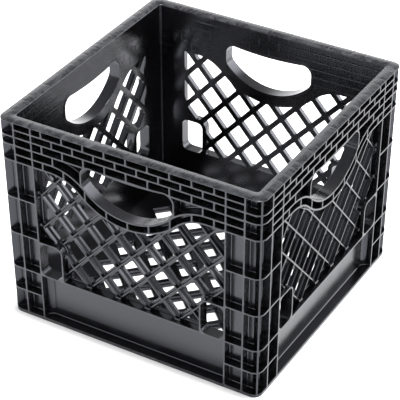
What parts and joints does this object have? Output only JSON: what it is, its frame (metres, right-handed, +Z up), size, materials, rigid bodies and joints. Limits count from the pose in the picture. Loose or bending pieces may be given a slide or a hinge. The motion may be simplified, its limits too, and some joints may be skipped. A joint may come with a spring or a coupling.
{
  "type": "milk crate",
  "caption": "Square open-topped plastic crate with hand holes, brick-pattern ribs under the rim, curved ribs and see-through diamond lattice walls.",
  "frame": {"origin": "middle of the underside, on the surface the crate stands on", "axes": "+Z up, -Y out of the front wall, +X out of the right wall; all four walls are alike"},
  "size_m": [0.326, 0.326, 0.258],
  "materials": {
    "rim": "black polyethylene, scuffed to dark grey along the rim",
    "walls": "moulded black polyethylene, low sheen",
    "floor": "moulded black polyethylene, low sheen"
  },
  "bodies": {
    "root": {"back_handle_band": "walls", "back_handle_grip": "walls", "back_left_post": "walls", "back_lower_lattice": "walls", "back_right_post": "walls", "back_rim_rail": "rim", "back_skirt": "walls", "back_upper_lattice_left": "walls", "back_upper_lattice_right": "walls", "floor_grid": "floor", "front_handle_band": "walls", "front_handle_grip": "walls", "front_left_post": "walls", "front_lower_lattice": "walls", "front_right_post": "walls", "front_rim_rail": "rim", "front_skirt": "walls", "front_upper_lattice_left": "walls", "front_upper_lattice_right": "walls", "left_handle_band": "walls", "left_handle_grip": "walls", "left_lower_lattice": "walls", "left_rim_rail": "rim", "left_skirt": "walls", "left_upper_lattice_left": "walls", "left_upper_lattice_right": "walls", "right_handle_band": "walls", "right_handle_grip": "walls", "right_lower_lattice": "walls", "right_rim_rail": "rim", "right_skirt": "walls", "right_upper_lattice_left": "walls", "right_upper_lattice_right": "walls"}
  },
  "joints": []
}
